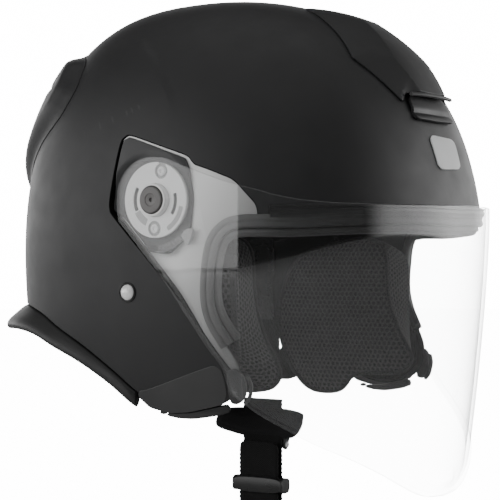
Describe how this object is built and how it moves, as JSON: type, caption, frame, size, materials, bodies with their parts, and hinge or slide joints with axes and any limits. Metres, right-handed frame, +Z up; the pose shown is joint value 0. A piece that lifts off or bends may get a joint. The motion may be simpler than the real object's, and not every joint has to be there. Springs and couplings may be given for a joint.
{
  "type": "open face motorcycle helmet",
  "caption": "Open face motorcycle helmet with a long clear drop-down visor, vents, padded liner and a chin strap with a ratchet buckle.",
  "frame": {"origin": "middle of the head cavity, level with the wearer's eyes, on the centre plane", "axes": "-Y to the wearer's front, +X to the wearer's left, +Z up"},
  "size_m": [0.2506, 0.2786, 0.2861],
  "materials": {
    "shell_matte": "matte black lacquer over a moulded composite shell",
    "eps_foam": "expanded foam",
    "comfort_fabric": "brushed knit",
    "pad_mesh": "honeycomb spacer mesh",
    "trim_rubber": "satin",
    "trim_plastic": "satin dark grey",
    "cover_plastic": "fine grain",
    "plate_grey": "light grey moulding",
    "screw_steel": "bright",
    "cap_grey": "satin",
    "visor_clear": "clear polycarbonate",
    "badge_grey": "plain plate",
    "rivet_chrome": "polished",
    "webbing": "woven webbing",
    "pad_black": "padded sleeve",
    "buckle_black": "moulded",
    "anchor_steel": "plated",
    "tab_red": "moulded"
  },
  "bodies": {
    "helmet": {"outer_shell": "shell_matte", "eps_liner": "eps_foam", "comfort_liner": "comfort_fabric", "headband_pad": "comfort_fabric", "neck_roll": "comfort_fabric", "cheek_pad_right": "pad_mesh", "cheek_pad_left": "pad_mesh", "cheek_pad_snaps": "buckle_black", "eyeport_trim": "trim_rubber", "brow_seal": "trim_rubber", "bottom_trim": "trim_rubber", "side_trim_right": "trim_plastic", "side_trim_left": "trim_plastic", "side_trim_end_right": "trim_plastic", "side_trim_end_left": "trim_plastic", "side_cover_right": "cover_plastic", "side_cover_left": "cover_plastic", "visor_base_plate_right": "plate_grey", "visor_base_plate_left": "plate_grey", "base_plate_screws": "screw_steel", "detent_pawl_right": "plate_grey", "detent_pawl_left": "plate_grey", "pivot_cap_right": "cap_grey", "pivot_cap_left": "cap_grey", "top_vent_housing": "shell_matte", "rear_vent": "shell_matte", "brow_badge": "badge_grey", "strap_rivets": "rivet_chrome", "strap_anchor_plates": "anchor_steel", "right_strap_upper": "webbing", "left_strap_upper": "webbing"},
    "visor": {"visor": "visor_clear"},
    "vent_slider": {"top_vent_slider": "cover_plastic"},
    "right_strap": {"right_strap": "webbing", "right_strap_pad": "pad_black", "buckle_frame": "anchor_steel", "buckle_pins": "screw_steel"},
    "buckle_lever": {"buckle_lever": "buckle_black", "buckle_pull_tab": "tab_red"},
    "strap_slider": {"strap_slider": "buckle_black"},
    "left_strap": {"left_strap": "webbing", "buckle_tongue": "buckle_black"}
  },
  "joints": [
    {"name": "visor_hinge", "type": "hinge", "parent": "helmet", "child": "visor", "pos_m": [0, -0.016, 0.027], "axis": [-1, 0, 0], "range_deg": [0, 75]},
    {"name": "vent_slide", "type": "slide", "parent": "helmet", "child": "vent_slider", "axis": [0, 0.456, 0.89], "range_m": [0, 0.006]},
    {"name": "right_strap_swing", "type": "hinge", "parent": "helmet", "child": "right_strap", "pos_m": [-0.0788, -0.0595, -0.0806], "axis": [0, -1, 0], "range_deg": [-12, 66]},
    {"name": "buckle_lever_hinge", "type": "hinge", "parent": "right_strap", "child": "buckle_lever", "pos_m": [-0.0695, -0.0595, -0.099], "axis": [0, 1, 0], "range_deg": [0, 55], "stiffness_Nm_per_rad": 0.02, "springref_deg": -11.46},
    {"name": "strap_adjust", "type": "slide", "parent": "right_strap", "child": "strap_slider", "axis": [0, 0, 1], "range_m": [-0.002, 0.014]},
    {"name": "left_strap_swing", "type": "hinge", "parent": "helmet", "child": "left_strap", "pos_m": [0.07, 0.035, -0.0796], "axis": [0, -1, 0], "range_deg": [0, 165]}
  ]
}
